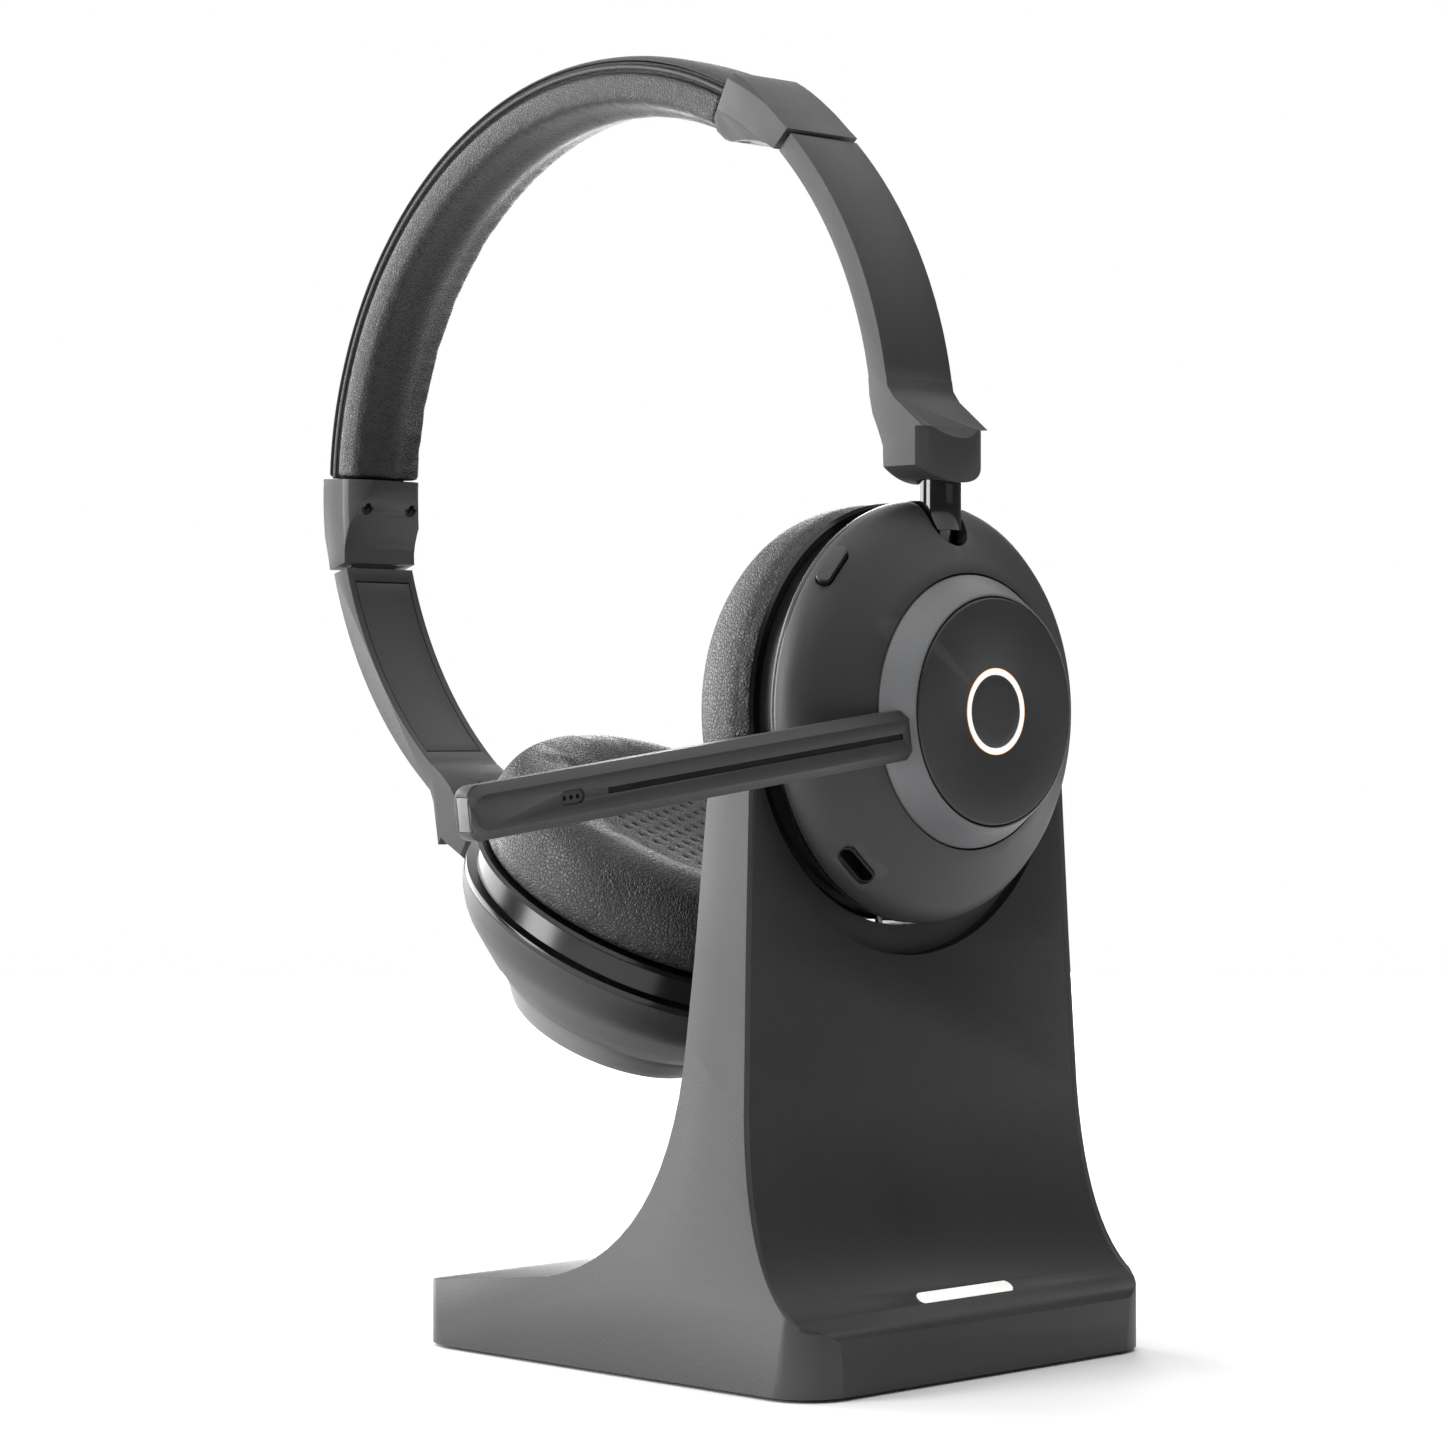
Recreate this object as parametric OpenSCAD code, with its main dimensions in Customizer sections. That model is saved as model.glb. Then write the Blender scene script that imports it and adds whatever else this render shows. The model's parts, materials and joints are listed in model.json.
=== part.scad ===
// Office headset on its charging stand.
// The stand rests on z = 0 with its front facing -Y, and the origin is the centre of its footprint.
// One ear cup hangs in the cradle with its axis along Y; the head goes towards +Y.
// The other side of the headset is the same side mirrored across a plane that leans back.

/* [Stand] */
// Width of the foot, side to side
stand_w = 90; // [84:0.5:96]
// Depth of the foot, front to back
stand_d = 98.7; // [92:0.5:104]
// Height of the column
stand_h = 109.3; // [104:0.1:112]
// Radius of the foot's upright corners
stand_corner = 9.5; // [5:0.5:14]
// Half width that the column loses for each mm of height
side_draft = 0.046; // [0.03:0.001:0.06]
// Thickness of the front panel
panel_t = 1.6; // [1.3:0.1:1.7]
// Length of the light bar
light_bar_len = 24; // [16:1:34]

/* [Ear cup] */
// Height of the docked cup's axis above the desk
cup_z = 113.3; // [112.8:0.1:114]
// Rim radius of the cup shell
rim_r = 36.5; // [36:0.1:36.6]
// Radius of the glossy waist behind the rim
waist_r = 34.6; // [33.6:0.1:35]
// Radius of the round cover disc
disc_r = 19.4; // [17:0.1:19.5]
// Radius of the round call button
button_r = 6.2; // [5:0.1:6.22]
// Radius of the ear cushion
cushion_r = 36; // [34.5:0.1:36.2]
// Thickness of the ear cushion
cushion_t = 16.4; // [12:0.1:18]

/* [Microphone boom] */
// Reach of the boom from the cup's axis
boom_reach = 118.5; // [95:0.5:120]
// Height of the boom's bar
boom_h = 8.5; // [6:0.1:9]
// Droop of the boom at rest, in degrees below level
boom_droop = 7.06; // [0:0.5:20]

/* [Arms and headband] */
// Lean of the mirror plane between the two sides, in degrees from upright
lean = 30.5; // [30:0.5:31]
// Width of an arm
arm_w = 17; // [14:0.5:18]
// Thickness of an arm
arm_t = 4; // [3.6:0.1:4.4]
// Outer radius of the padded headband
band_r = 78; // [77.6:0.1:79]
// Width of the headband
band_w = 17.5; // [15:0.5:19]
// Angle from the middle of the band to each end, in degrees
band_half = 57; // [56:0.5:58]
// Diameter of the swivel post
post_d = 7.4; // [6.5:0.1:7.5]

/* [Hidden] */
$fn = 96;
plane_y = -35.05;                        // y of the plane s = 0 inside the docked cup
mirror_o = [0, 25.7, 132.4];             // a point on the mirror plane
band_lift = 28;                          // band centre above mirror_o, along the plane
arm_o = [46.8, 157.7];                   // centre of the arm's curve in (y, z)
arm_ri = 76.75;
arm_ro = arm_ri + arm_t;
arm_a0 = 9;
arm_a1 = 45.2;
seam_s = 1.3;                            // where the shell meets the waist ring
floor_s = -8.4;                          // seat of the boom hub in the shell
hub_r = 23.4;
hub_bore = 9.08;
spindle_r = 9;
disc_s = -15.4;
post_s = -2.6;
far_extra = 5.1;                         // the far shell is this much deeper, for its battery
far_drop = 1.8;
pivot_z = 23.5;                          // hinge pin above the cup's axis
pin_r = 1.2;
slot_z = 28.4;                           // lower end of the post's slot
shaft_z = 31.2;                          // lower end of the post's shaft
barrel_r = 2.9;
barrel_l = 8.4;
neck_r = 2;
bar_s0 = -14.2;
bar_s1 = -10.2;
bevel_s = -12.9;                         // where the bar's front bevel starts
bar_drop = -1.5;
slide_angle = 28.5;                      // direction of the slider above level
strip_len = 32;
strip_t = 1.2;
strip_w = 10;
tunnel = 0.4;                            // play round the slide strip
block_w = 18;
pad_r0 = 67;
pad_r1 = 72.4;
carrier_r0 = 72.6;
carrier_r1 = 76.2;
cover_r0 = 76.5;
u_r = 36.95;                             // cradle opening
dish_r = 38.5;
dish_z = 109.7;
dish_depth = 1.8;
pin_y = -28.5;                           // charge pins, inside the cradle's wall
pin_x = 5.6;
contact_s = 5;                           // charging contacts, in s
contact_w = 2.2;
socket_z = 5.7;
plastic = [0.16, 0.165, 0.17];
light_plastic = [0.33, 0.335, 0.34];
gloss = [0.03, 0.03, 0.035];
leather = [0.12, 0.12, 0.125];
steel = [0.62, 0.63, 0.65];
gold = [0.83, 0.66, 0.3];
board_green = [0.06, 0.22, 0.16];
white_light = [0.95, 0.95, 0.93];

// ---------- helpers ----------

// A quadratic curve from a to c, pulled towards b
function curve(a, b, c, steps) =
  [for (i = [0:steps]) let (t = i / steps) (1 - t) * (1 - t) * a + 2 * t * (1 - t) * b + t * t * c];

// An arc in (y, z) round o, its angle measured up from the -Y direction
function arc(o, r, a0, a1, steps) =
  [for (i = [0:steps]) let (a = a0 + (a1 - a0) * i / steps) [o[0] - r * cos(a), o[1] + r * sin(a)]];

function smooth(t) = t * t * (3 - 2 * t);

// The centre of the headband, in (y, z)
function band_o() = [mirror_o[1] + band_lift * sin(lean), mirror_o[2] + band_lift * cos(lean)];

// A point of the band at radius r; angle 0 is its middle and negative is the near side
function band_pt(r, a) = band_o() + r * [sin(a + lean), cos(a + lean)];

function band_arc(r, a0, a1, steps) =
  [for (i = [0:steps]) band_pt(r, a0 + (a1 - a0) * i / steps)];

// An outline drawn in (y, z), w wide in X and centred on it
module side_slab(w, x = 0) {
  translate([x - w / 2, 0, 0])
    rotate([90, 0, 90])
      linear_extrude(w)
        children();
}

// A solid of revolution about the cup's axis from an outline in (radius, s)
module spin(points) {
  rotate([-90, 0, 0])
    rotate_extrude()
      polygon(points);
}

module in_cup() {
  translate([0, plane_y, cup_z]) children();
}

// The far cup sits deeper on its hinge than the near one
module in_far_cup(out = 0) {
  mirrored()
    in_cup()
      translate([0, out, -far_drop])
        children();
}

module mirrored() {
  translate(mirror_o)
    rotate([-lean, 0, 0])
      mirror([0, 1, 0])
        rotate([lean, 0, 0])
          translate(-mirror_o)
            children();
}

// X points out from the cup's side at the angle a above +X; Y stays along the cup's axis
module on_rim(a, r, s, slope) {
  rotate([0, -a, 0])
    translate([r, s, 0])
      rotate([0, 0, -slope])
        children();
}

// A rounded bar along Z: length l, width w, standing h out along X
module lozenge(l, w, h) {
  rotate([0, 90, 0])
    linear_extrude(h)
      union() {
        square([l - w, w], center = true);
        for (side = [-1, 1])
          translate([side * (l - w) / 2, 0])
            circle(d = w);
      }
}

// The slider's straight tunnel or strip, starting at the arm's top end
module slide_bar(w, t, from, to) {
  top = arm_o + (arm_ri + arm_t / 2) * [-cos(arm_a1), sin(arm_a1)];
  translate([0, top[0], top[1]])
    rotate([slide_angle, 0, 0])
      translate([-w / 2, from, -t / 2])
        cube([w, to - from, t]);
}

// ---------- stand ----------

function front_curve() = concat(
  [[-30.9, stand_h], [-31.65, 72]],
  curve([-32.45, 46], [-34.2, 16], [-48.3, 11.3], 14));

function rear_curve() = concat(
  [[48.9, 11.4], [30, 13.6]],
  curve([14, 15.3], [-15.5, 21.5], [-18.3, 58], 14),
  [[-19.6, 72], [-22, stand_h]]);

module front_outline() {
  polygon(concat(front_curve(), [[-49.2, 9.8], [-49.35, 0.6], [49.35, 0.6], [49.2, 10]], rear_curve()));
}

// The foot's plan and the column's front view limit the side outline
module stand_envelope() {
  linear_extrude(stand_h)
    union() {
      square([stand_w - 2 * stand_corner, stand_d], center = true);
      square([stand_w, stand_d - 2 * stand_corner], center = true);
      for (x = [-1, 1], y = [-1, 1])
        translate([x * (stand_w / 2 - stand_corner), y * (stand_d / 2 - stand_corner)])
          circle(stand_corner);
    }
}

module column_front_view(inset) {
  foot = stand_w / 2 - inset;
  top = foot - side_draft * stand_h;
  round_r = 5 - inset / 2;
  translate([0, stand_d / 2 + 1, 0])
    rotate([90, 0, 0])
      linear_extrude(stand_d + 2)
        union() {
          polygon([[-foot, 0], [foot, 0], [top, stand_h - round_r], [-top, stand_h - round_r]]);
          translate([-(top - round_r), stand_h - round_r - 1])
            square([2 * (top - round_r), round_r + 1]);
          for (x = [-1, 1])
            translate([x * (top - round_r), stand_h - round_r])
              circle(round_r);
        }
}

module cradle_cut() {
  in_cup()
    rotate([-90, 0, 0])
      translate([0, 0, -10])
        cylinder(r = u_r, h = 40);
}

module dish_cut() {
  translate([0, -31.05 + dish_depth, dish_z])
    rotate([90, 0, 0])
      cylinder(r = dish_r, h = 10);
}

function shifted(points, dy) = [for (p = points) [p[0] + dy, p[1]]];

// The skin between the front curve and the same curve moved back
module panel_outline() {
  face = front_curve();
  back = shifted(face, panel_t);
  polygon(concat(face, [for (i = [len(back) - 1:-1:0]) back[i]]));
}

module panel_side_limits() {
  column_front_view(1.3);
}

module stand_front_panel() {
  color(plastic)
    difference() {
      intersection() {
        side_slab(stand_w) panel_outline();
        panel_side_limits();
        stand_envelope();
      }
      cradle_cut();
      dish_cut();
      light_bar_solid(0.05, 6);
    }
}

module stand_housing() {
  color(plastic)
    difference() {
      intersection() {
        side_slab(stand_w + 2) front_outline();
        column_front_view(0);
        stand_envelope();
      }
      intersection() {
        side_slab(stand_w) panel_outline();
        panel_side_limits();
        stand_envelope();
      }
      cradle_cut();
      dish_cut();
      // hollow of the foot
      translate([-41, -45, -1])
        cube([82, 90.5, 10]);
      // hollow of the column
      side_slab(64)
        polygon([[-28.5, 8], [-27.8, 45], [-27.2, 70], [-22.2, 70], [-21, 45], [-17, 33], [-10, 23],
                 [0, 16], [0, 8]]);
      // openings for the charge pins, the light and the cable socket
      for (x = [-pin_x, pin_x])
        translate([x, pin_y, 62])
          cylinder(r = 0.75, h = 18);
      translate([-8.1, pin_y - 1.1, 60])
        cube([16.2, 3.4, 10.5]);
      light_bar_solid(0.05, 8);
      translate([0, 47, socket_z])
        rotate([90, 0, 0])
          linear_extrude(8, center = true)
            square([9.6, 3.8], center = true);
    }
  color(plastic)
    screw_places()
      difference() {
        translate([0, 0, 3]) cylinder(r = 3.2, h = 6.2);
        cylinder(r = 1.27, h = 8);
      }
}

module stand_bottom_plate() {
  color(gloss)
    difference() {
      translate([-40.8, -44.8, 1.2])
        cube([81.6, 90.1, 1.8]);
      screw_places() cylinder(r = 1.3, h = 8);
    }
}

module stand_rubber_mat() {
  color([0.07, 0.07, 0.07])
    difference() {
      translate([-40.3, -44.3, 0])
        cube([80.6, 89.1, 1.2]);
      screw_places() translate([0, 0, -1]) cylinder(r = 2.8, h = 8);
    }
}

module screw_places() {
  for (x = [-36, 36], y = [-40, 40])
    translate([x, y, 0])
      children();
}

module stand_screws() {
  color(steel)
    screw_places()
      union() {
        translate([0, 0, 0.2]) cylinder(r = 2.4, h = 1);
        cylinder(r = 1.25, h = 6.5);
      }
}

module stand_weight() {
  color(steel)
    translate([-33, -18, 3])
      cube([66, 56, 4]);
}

module stand_circuit_board() {
  color(board_green)
    union() {
      translate([-20, 39, 3])
        cube([40, 5.6, 1.05]);
      translate([-16, -42, 3])
        cube([32, 20, 1]);
      for (x = [-10, 0, 9])
        translate([x, -34, 4])
          cube([5, 5, 1.2]);
    }
}

module stand_usb_c_socket() {
  color(steel)
    translate([0, 46.6, socket_z])
      rotate([90, 0, 0])
        difference() {
          linear_extrude(5.2, center = true)
            rounded_slot(8.9, 3.2);
          translate([0, 0, -1])
            linear_extrude(5.2, center = true)
              rounded_slot(8.3, 2.6);
        }
}

module rounded_slot(w, h) {
  square([w - h, h], center = true);
  for (side = [-1, 1])
    translate([side * (w - h) / 2, 0])
      circle(d = h);
}

// The light bar lies on the sweep of the foot, its long side along X
module light_bar_solid(play, depth) {
  translate([0, -43.6, 14.1])
    rotate([28, 0, 0])
      linear_extrude(depth, center = true)
        rounded_slot(light_bar_len + 2 * play, 2.4 + 2 * play);
}

module stand_light_bar() {
  color(white_light)
    intersection() {
      light_bar_solid(0, 3.4);
      side_slab(stand_w)
        polygon(concat(shifted(front_curve(), -0.12), [[-40, 6], [-20, 6], [-20, stand_h]]));
    }
}

module stand_charge_pins() {
  tip_x = pin_x - 0.65;
  top = cup_z - sqrt(waist_r * waist_r - tip_x * tip_x) - 0.02;
  color(gold)
    union() {
      for (x = [-pin_x, pin_x])
        translate([x, pin_y, 66])
          cylinder(r = 0.65, h = top - 66);
      translate([-8, pin_y - 1, 63])
        cube([16, 3.2, 5]);
    }
}

// ---------- ear cup ----------

function shell_outer() = [
  [rim_r, seam_s], [rim_r - 0.15, 0], [rim_r - 0.8, -1.6], [rim_r - 2, -3], [rim_r - 3.1, -3.95],
  [rim_r - 6, -5.75], [rim_r - 9.5, -7.85], [hub_r + 0.35, -9.8]];

function shell_inner() = [
  [hub_r + 1.2, -7], [rim_r - 4, -2.4], [rim_r - 1.9, 0.2], [rim_r - 1.9, seam_s]];

// Slot in the dome that the swivel post swings in, round at its lower end
module post_slot() {
  half = post_d / 2 + 0.6;
  through = 9.6 + seam_s + 0.1;
  translate([0, seam_s + 0.1, slot_z + half])
    rotate([90, 0, 0])
      cylinder(r = half, h = through);
  translate([-half, -9.6, slot_z + half])
    cube([2 * half, through, 12 - half]);
  translate([-half, -6.4, 25.6])
    cube([2 * half, 6.4 + seam_s + 0.1, 3]);
  // the post's neck swings here, behind the slot's round end
  translate([-neck_r - 0.4, -6, 28])
    cube([2 * neck_r + 0.8, 6 + seam_s + 0.1, 1.2]);
}

module near_shell() {
  color(plastic)
    in_cup()
      difference() {
        spin(concat(shell_outer(),
          [[hub_r + 0.35, floor_s], [spindle_r, floor_s], [spindle_r, disc_s + 1.4],
           [button_r + 1.4, disc_s + 1.4], [button_r + 1.4, -6.8], [hub_r + 0.6, -6.8]],
          shell_inner()));
        post_slot();
        side_button_seat();
        on_rim(230, rim_r - 7.6, -1, 24)
          translate([-1, 0, 0])
            lozenge(9, 3.2, 14);
      }
}

module side_button_seat() {
  on_rim(137, rim_r - 1.9, -1.1, 29)
    translate([-0.8, 0, 0])
      lozenge(8.5, 3.1, 8);
}

// The far shell's outline is the near one's, drawn out towards its rim
function deepened(points) =
  [for (p = points) [p[0], p[1] + far_extra * max(0, min(1, (p[1] + 9) / 8))]];

module far_shell() {
  color(plastic)
    in_far_cup()
      difference() {
        spin(concat(deepened(shell_outer()),
          [[hub_r + 0.35, floor_s], [0, floor_s], [0, -6.8], [hub_r + 0.6, -6.8]],
          deepened(shell_inner())));
        translate([0, 0, far_drop]) post_slot();
        // room for the hinge bracket and for the post's barrel
        translate([-6.3, -4.7, 20])
          cube([12.6, 8, 8.6]);
        translate([-barrel_l / 2 - 0.4, post_s, pivot_z + far_drop])
          rotate([0, 90, 0])
            cylinder(r = barrel_r + 0.4, h = barrel_l + 0.8);
      }
}

module waist_ring_solid() {
  difference() {
    spin([[rim_r, seam_s], [rim_r, 2.5], [waist_r, 2.8], [waist_r, 7.4], [15.2, 7.4], [15.2, 5.8],
          [waist_r - 2.2, 5.8], [waist_r - 2.2, 3], [rim_r - 2.1, seam_s]]);
    // window of the charging contacts
    translate([-pin_x - 1.1, contact_s, -waist_r - 1])
      cube([2 * pin_x + 2.2, contact_w, 3.6]);
  }
}

module near_waist_ring() {
  color(gloss) in_cup() waist_ring_solid();
}

module far_waist_ring() {
  color(gloss) in_far_cup(far_extra) waist_ring_solid();
}

// Carrier ring with the welt that the cushion clips on with
module cushion_ring_solid() {
  spin([[15.2, 7.4], [cushion_r - 0.3, 7.4], [cushion_r + 0.3, 7.9], [cushion_r - 0.3, 8.4], [15.2, 8.4]]);
}

module near_cushion_ring() {
  color(leather) in_cup() cushion_ring_solid();
}

module far_cushion_ring() {
  color(leather) in_far_cup(far_extra) cushion_ring_solid();
}

module cushion_solid() {
  top = 8.4 + cushion_t;
  spin([[0, 8.4], [cushion_r - 2, 8.4], [cushion_r - 0.3, 10], [cushion_r, 13.5],
        [cushion_r - 0.9, top - 5.4], [cushion_r - 3.6, top - 1.9], [cushion_r - 8, top],
        [cushion_r - 12.5, top - 0.6], [cushion_r - 17, top - 3], [17.2, top - 4.2], [0, top - 4.4]]);
}

module near_cushion() {
  color(leather) in_cup() cushion_solid();
}

module far_cushion() {
  color(leather) in_far_cup(far_extra) cushion_solid();
}

// Perforated sheet in the hollow of the cushion
module cushion_mesh_solid() {
  base = 8.4 + cushion_t - 4.4;
  spin([[0, base], [17, base + 0.2], [17, base + 0.8], [0, base + 0.6]]);
}

module near_cushion_mesh() {
  color([0.09, 0.09, 0.09]) in_cup() cushion_mesh_solid();
}

module far_cushion_mesh() {
  color([0.09, 0.09, 0.09]) in_far_cup(far_extra) cushion_mesh_solid();
}

module speaker_solid() {
  spin([[0, 1.2], [9, 1.2], [9, 3.4], [13.8, 4.6], [16.6, 4.6], [16.6, 5.7], [15, 5.7], [15, 7.2], [0, 7.2]]);
}

module near_speaker() {
  color(steel) in_cup() speaker_solid();
}

module far_speaker() {
  color(steel) in_far_cup(far_extra) speaker_solid();
}

module near_circuit_board() {
  color(board_green)
    in_cup()
      union() {
        spin([[8, -6], [18.5, -6], [18.5, -5], [8, -5]]);
        for (a = [20:60:320])
          rotate([0, a, 0])
            translate([11, -5.1, -2])
              cube([4, 1.3, 4]);
      }
}

module headset_usb_c_socket() {
  color(steel)
    in_cup()
      on_rim(230, rim_r - 7.6, -1, 24)
        difference() {
          lozenge(8.9, 3.1, 5.4);
          translate([1, 0, 0]) lozenge(8.2, 2.4, 5.4);
        }
}

// Two plated contacts under the waist, which the stand's pins touch
module charge_contacts() {
  color(gold)
    in_cup()
      intersection() {
        spin([[waist_r - 1.1, contact_s], [waist_r, contact_s], [waist_r, contact_s + contact_w],
              [waist_r - 1.1, contact_s + contact_w]]);
        for (x = [-pin_x, pin_x])
          translate([x - 1, contact_s, -40])
            cube([2, contact_w, 10]);
      }
}

module near_disc() {
  color([0.1, 0.1, 0.105])
    in_cup()
      spin([[button_r + 1.1, disc_s], [disc_r - 0.3, disc_s], [disc_r, disc_s + 0.3],
            [disc_r, disc_s + 1.4], [button_r + 1.1, disc_s + 1.4]]);
}

module far_disc() {
  color([0.1, 0.1, 0.105])
    in_far_cup()
      spin([[0, disc_s], [disc_r - 0.3, disc_s], [disc_r, disc_s + 0.3], [disc_r, disc_s + 1.4],
            [0, disc_s + 1.4]]);
}

module call_light_ring() {
  color(white_light)
    in_cup()
      spin([[button_r + 0.08, disc_s - 0.05], [button_r + 1.08, disc_s - 0.05],
            [button_r + 1.08, disc_s + 2.4], [button_r + 0.08, disc_s + 2.4]]);
}

module call_button() {
  color(gloss)
    in_cup()
      spin([[0, disc_s - 0.3], [button_r - 1, disc_s - 0.2], [button_r, disc_s], [button_r, disc_s + 3.2],
            [0, disc_s + 3.2]]);
}

module side_button() {
  color(gloss)
    in_cup()
      on_rim(137, rim_r - 1.9, -1.1, 29)
        lozenge(8.1, 2.7, 2.3);
}

module hinge_bracket_solid() {
  difference() {
    union() {
      for (x = [-6.1, 4.5]) {
        translate([x, -4.5, 18.8])
          cube([1.6, 5.5, 7.7]);
        translate([x, -6.7, 18.8])
          cube([1.6, 2.5, 2]);
      }
      translate([-6.1, -6.7, 18.8])
        cube([12.2, 1.1, 2]);
    }
    translate([-8, post_s, pivot_z])
      rotate([0, 90, 0])
        cylinder(r = pin_r, h = 16);
  }
}

module near_hinge_bracket() {
  color(steel) in_cup() hinge_bracket_solid();
}

module far_hinge_bracket() {
  color(steel) mirrored() in_cup() hinge_bracket_solid();
}

module hinge_pin_solid() {
  translate([-6.5, post_s, pivot_z])
    rotate([0, 90, 0])
      cylinder(r = pin_r, h = 13);
}

module near_hinge_pin() {
  color(steel) in_cup() hinge_pin_solid();
}

module far_hinge_pin() {
  color(steel) mirrored() in_cup() hinge_pin_solid();
}

// Swivel post: a barrel on the hinge pin, a neck, and the shaft that turns in the arm
module post_solid() {
  difference() {
    union() {
      translate([-barrel_l / 2, post_s, pivot_z])
        rotate([0, 90, 0])
          cylinder(r = barrel_r, h = barrel_l);
      translate([0, post_s, pivot_z])
        cylinder(r = neck_r, h = 9);
      translate([0, post_s, shaft_z])
        cylinder(d = post_d, h = 42.9 - shaft_z);
      translate([0, post_s, 42])
        cylinder(r = 2.5, h = 5);
    }
    translate([-8, post_s, pivot_z])
      rotate([0, 90, 0])
        cylinder(r = pin_r + 0.05, h = 16);
  }
}

module near_post() {
  color(gloss) in_cup() post_solid();
}

module far_post() {
  color(gloss) mirrored() in_cup() post_solid();
}

// Hub that carries the boom round the cup; the far cup has the same cone as a fixed trim
module near_hub_outline(bore) {
  spin([[bore, floor_s - 0.3], [hub_r, floor_s - 0.3], [hub_r, -9.9], [disc_r + 0.6, -15.1],
        [disc_r + 0.25, -15.1], [disc_r + 0.25, disc_s + 1.7], [bore, disc_s + 1.7]]);
}

module boom_hub() {
  color(light_plastic)
    in_cup()
      near_hub_outline(hub_bore);
}

module far_trim_ring() {
  color(light_plastic)
    in_far_cup()
      spin([[12, floor_s], [hub_r + 0.3, floor_s], [hub_r, -9.9], [disc_r + 0.6, -15.1],
            [disc_r + 0.02, -15.1], [disc_r + 0.02, disc_s + 1.4], [12, disc_s + 1.4]]);
}

// ---------- boom ----------

module along_boom() {
  in_cup()
    rotate([0, -boom_droop, 0])
      translate([0, 0, bar_drop])
        children();
}

// Cross-section of the bar in (y, z), with its front edges bevelled
module bar_section() {
  half = boom_h / 2;
  polygon([[bar_s1, -half + 0.5], [bar_s1 - 0.5, -half], [bevel_s, -half], [bar_s0, -half + 1.5],
           [bar_s0, half - 1.5], [bevel_s, half], [bar_s1 - 0.5, half], [bar_s1, half - 0.5]]);
}

// Plan of the bar seen from the front, with its tip's corners rounded off
module bar_plan() {
  half = boom_h / 2;
  tip = [[2.4, half + 0.3], [1.1, half - 0.35], [0.35, half - 1.1], [0, half - 2.2]];
  upper = [for (p = tip) [p[0] - boom_reach, p[1]]];
  lower = [for (i = [3:-1:0]) [tip[i][0] - boom_reach, -tip[i][1]]];
  rotate([90, 0, 0])
    linear_extrude(40, center = true)
      polygon(concat([[-20.5, half + 0.3]], upper, lower, [[-20.5, -half - 0.3]]));
}

module bar_slots() {
  // groove in the front face
  translate([-90.4, bar_s0 - 1, -0.5])
    cube([68, 1.7, 1]);
  // microphone port
  translate([-98, bar_s0 + 0.8, 0])
    rotate([90, 0, 0])
      linear_extrude(4)
        rounded_slot(5.2, 2.3);
  // hollow for the capsule
  translate([-98, -11.7, 0])
    rotate([90, 0, 0])
      cylinder(r = 2.9, h = 1.8);
}

module boom_bar() {
  color(plastic)
    along_boom()
      difference() {
        intersection() {
          side_slab(boom_reach, -boom_reach / 2) bar_section();
          bar_plan();
          tip_bevel();
        }
        bar_slots();
        translate([-boom_reach - 1, -13.4, -2.7])
          cube([1.5, 2.6, 5.4]);
        // the bar stops at the hub's cone
        along_hub_clear();
      }
}

// Carries the front bevel round the tip, so that the flat face ends in a half circle
module tip_bevel() {
  centre = boom_reach - 3.2;
  translate([-centre, bar_s0 - 1, -10])
    cube([boom_reach, 10, 20]);
  translate([-boom_reach - 1, bevel_s, -10])
    cube([10, 10, 20]);
  translate([-centre, 0, 0])
    spin([[0, bar_s0], [boom_h / 2 - 1.5, bar_s0], [boom_h / 2 + 0.1, bevel_s + 0.1], [0, bevel_s + 0.1]]);
}

// The hub's outside seen from the bar
module along_hub_clear() {
  translate([0, 0, -bar_drop])
    rotate([0, boom_droop, 0])
      spin([[0, -18], [disc_r + 0.6, -18], [disc_r + 0.6, -15.1], [hub_r, -9.9], [hub_r, -8], [0, -8]]);
}

module boom_slot_insert() {
  color(gloss)
    along_boom()
      translate([-90.3, bar_s0 + 0.25, -0.45])
        cube([67.6, 0.4, 0.9]);
}

module boom_mic_grille() {
  color(gloss)
    along_boom()
      difference() {
        translate([-98, bar_s0 + 0.7, 0])
          rotate([90, 0, 0])
            linear_extrude(0.4)
              rounded_slot(5, 2.1);
        for (x = [-1.4, 0, 1.4])
          translate([-98 + x, bar_s0, 0])
            rotate([90, 0, 0])
              cylinder(r = 0.4, h = 6, center = true);
      }
}

module boom_mic_capsule() {
  color(steel)
    along_boom()
      translate([-98, -11.8, 0])
        rotate([90, 0, 0])
          cylinder(r = 2.4, h = 1.5);
}

module boom_tip_cap() {
  color(light_plastic)
    along_boom()
      translate([-boom_reach - 0.1, -13.3, -2.6])
        cube([0.6, 2.4, 5.2]);
}

// ---------- arms ----------

module strip_outline(r0, r1, a0, a1) {
  polygon(concat(arc(arm_o, r1, a0, a1, 16), arc(arm_o, r0, a1, a0, 16)));
}

module arm_boss() {
  intersection() {
    side_slab(arm_w)
      polygon([[-42.6, 150], [-42.6, 160.2], [-41.2, 162], [-34.7, 167.2], [-33.2, 169.2], [-32.9, 171],
               [-28.7, 171], [-28.95, 167.8], [-29.7, 164.6], [-31, 161.8], [-32.1, 159], [-32.4, 150]]);
    // bowed front
    union() {
      translate([0, -29.1, 148])
        cylinder(r = 13.5, h = 16);
      translate([-15, -45, 162])
        cube([30, 20, 12]);
    }
    // bowed underside
    translate([0, -20, 166.9])
      rotate([90, 0, 0])
        cylinder(r = 14.3, h = 30);
  }
}

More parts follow.
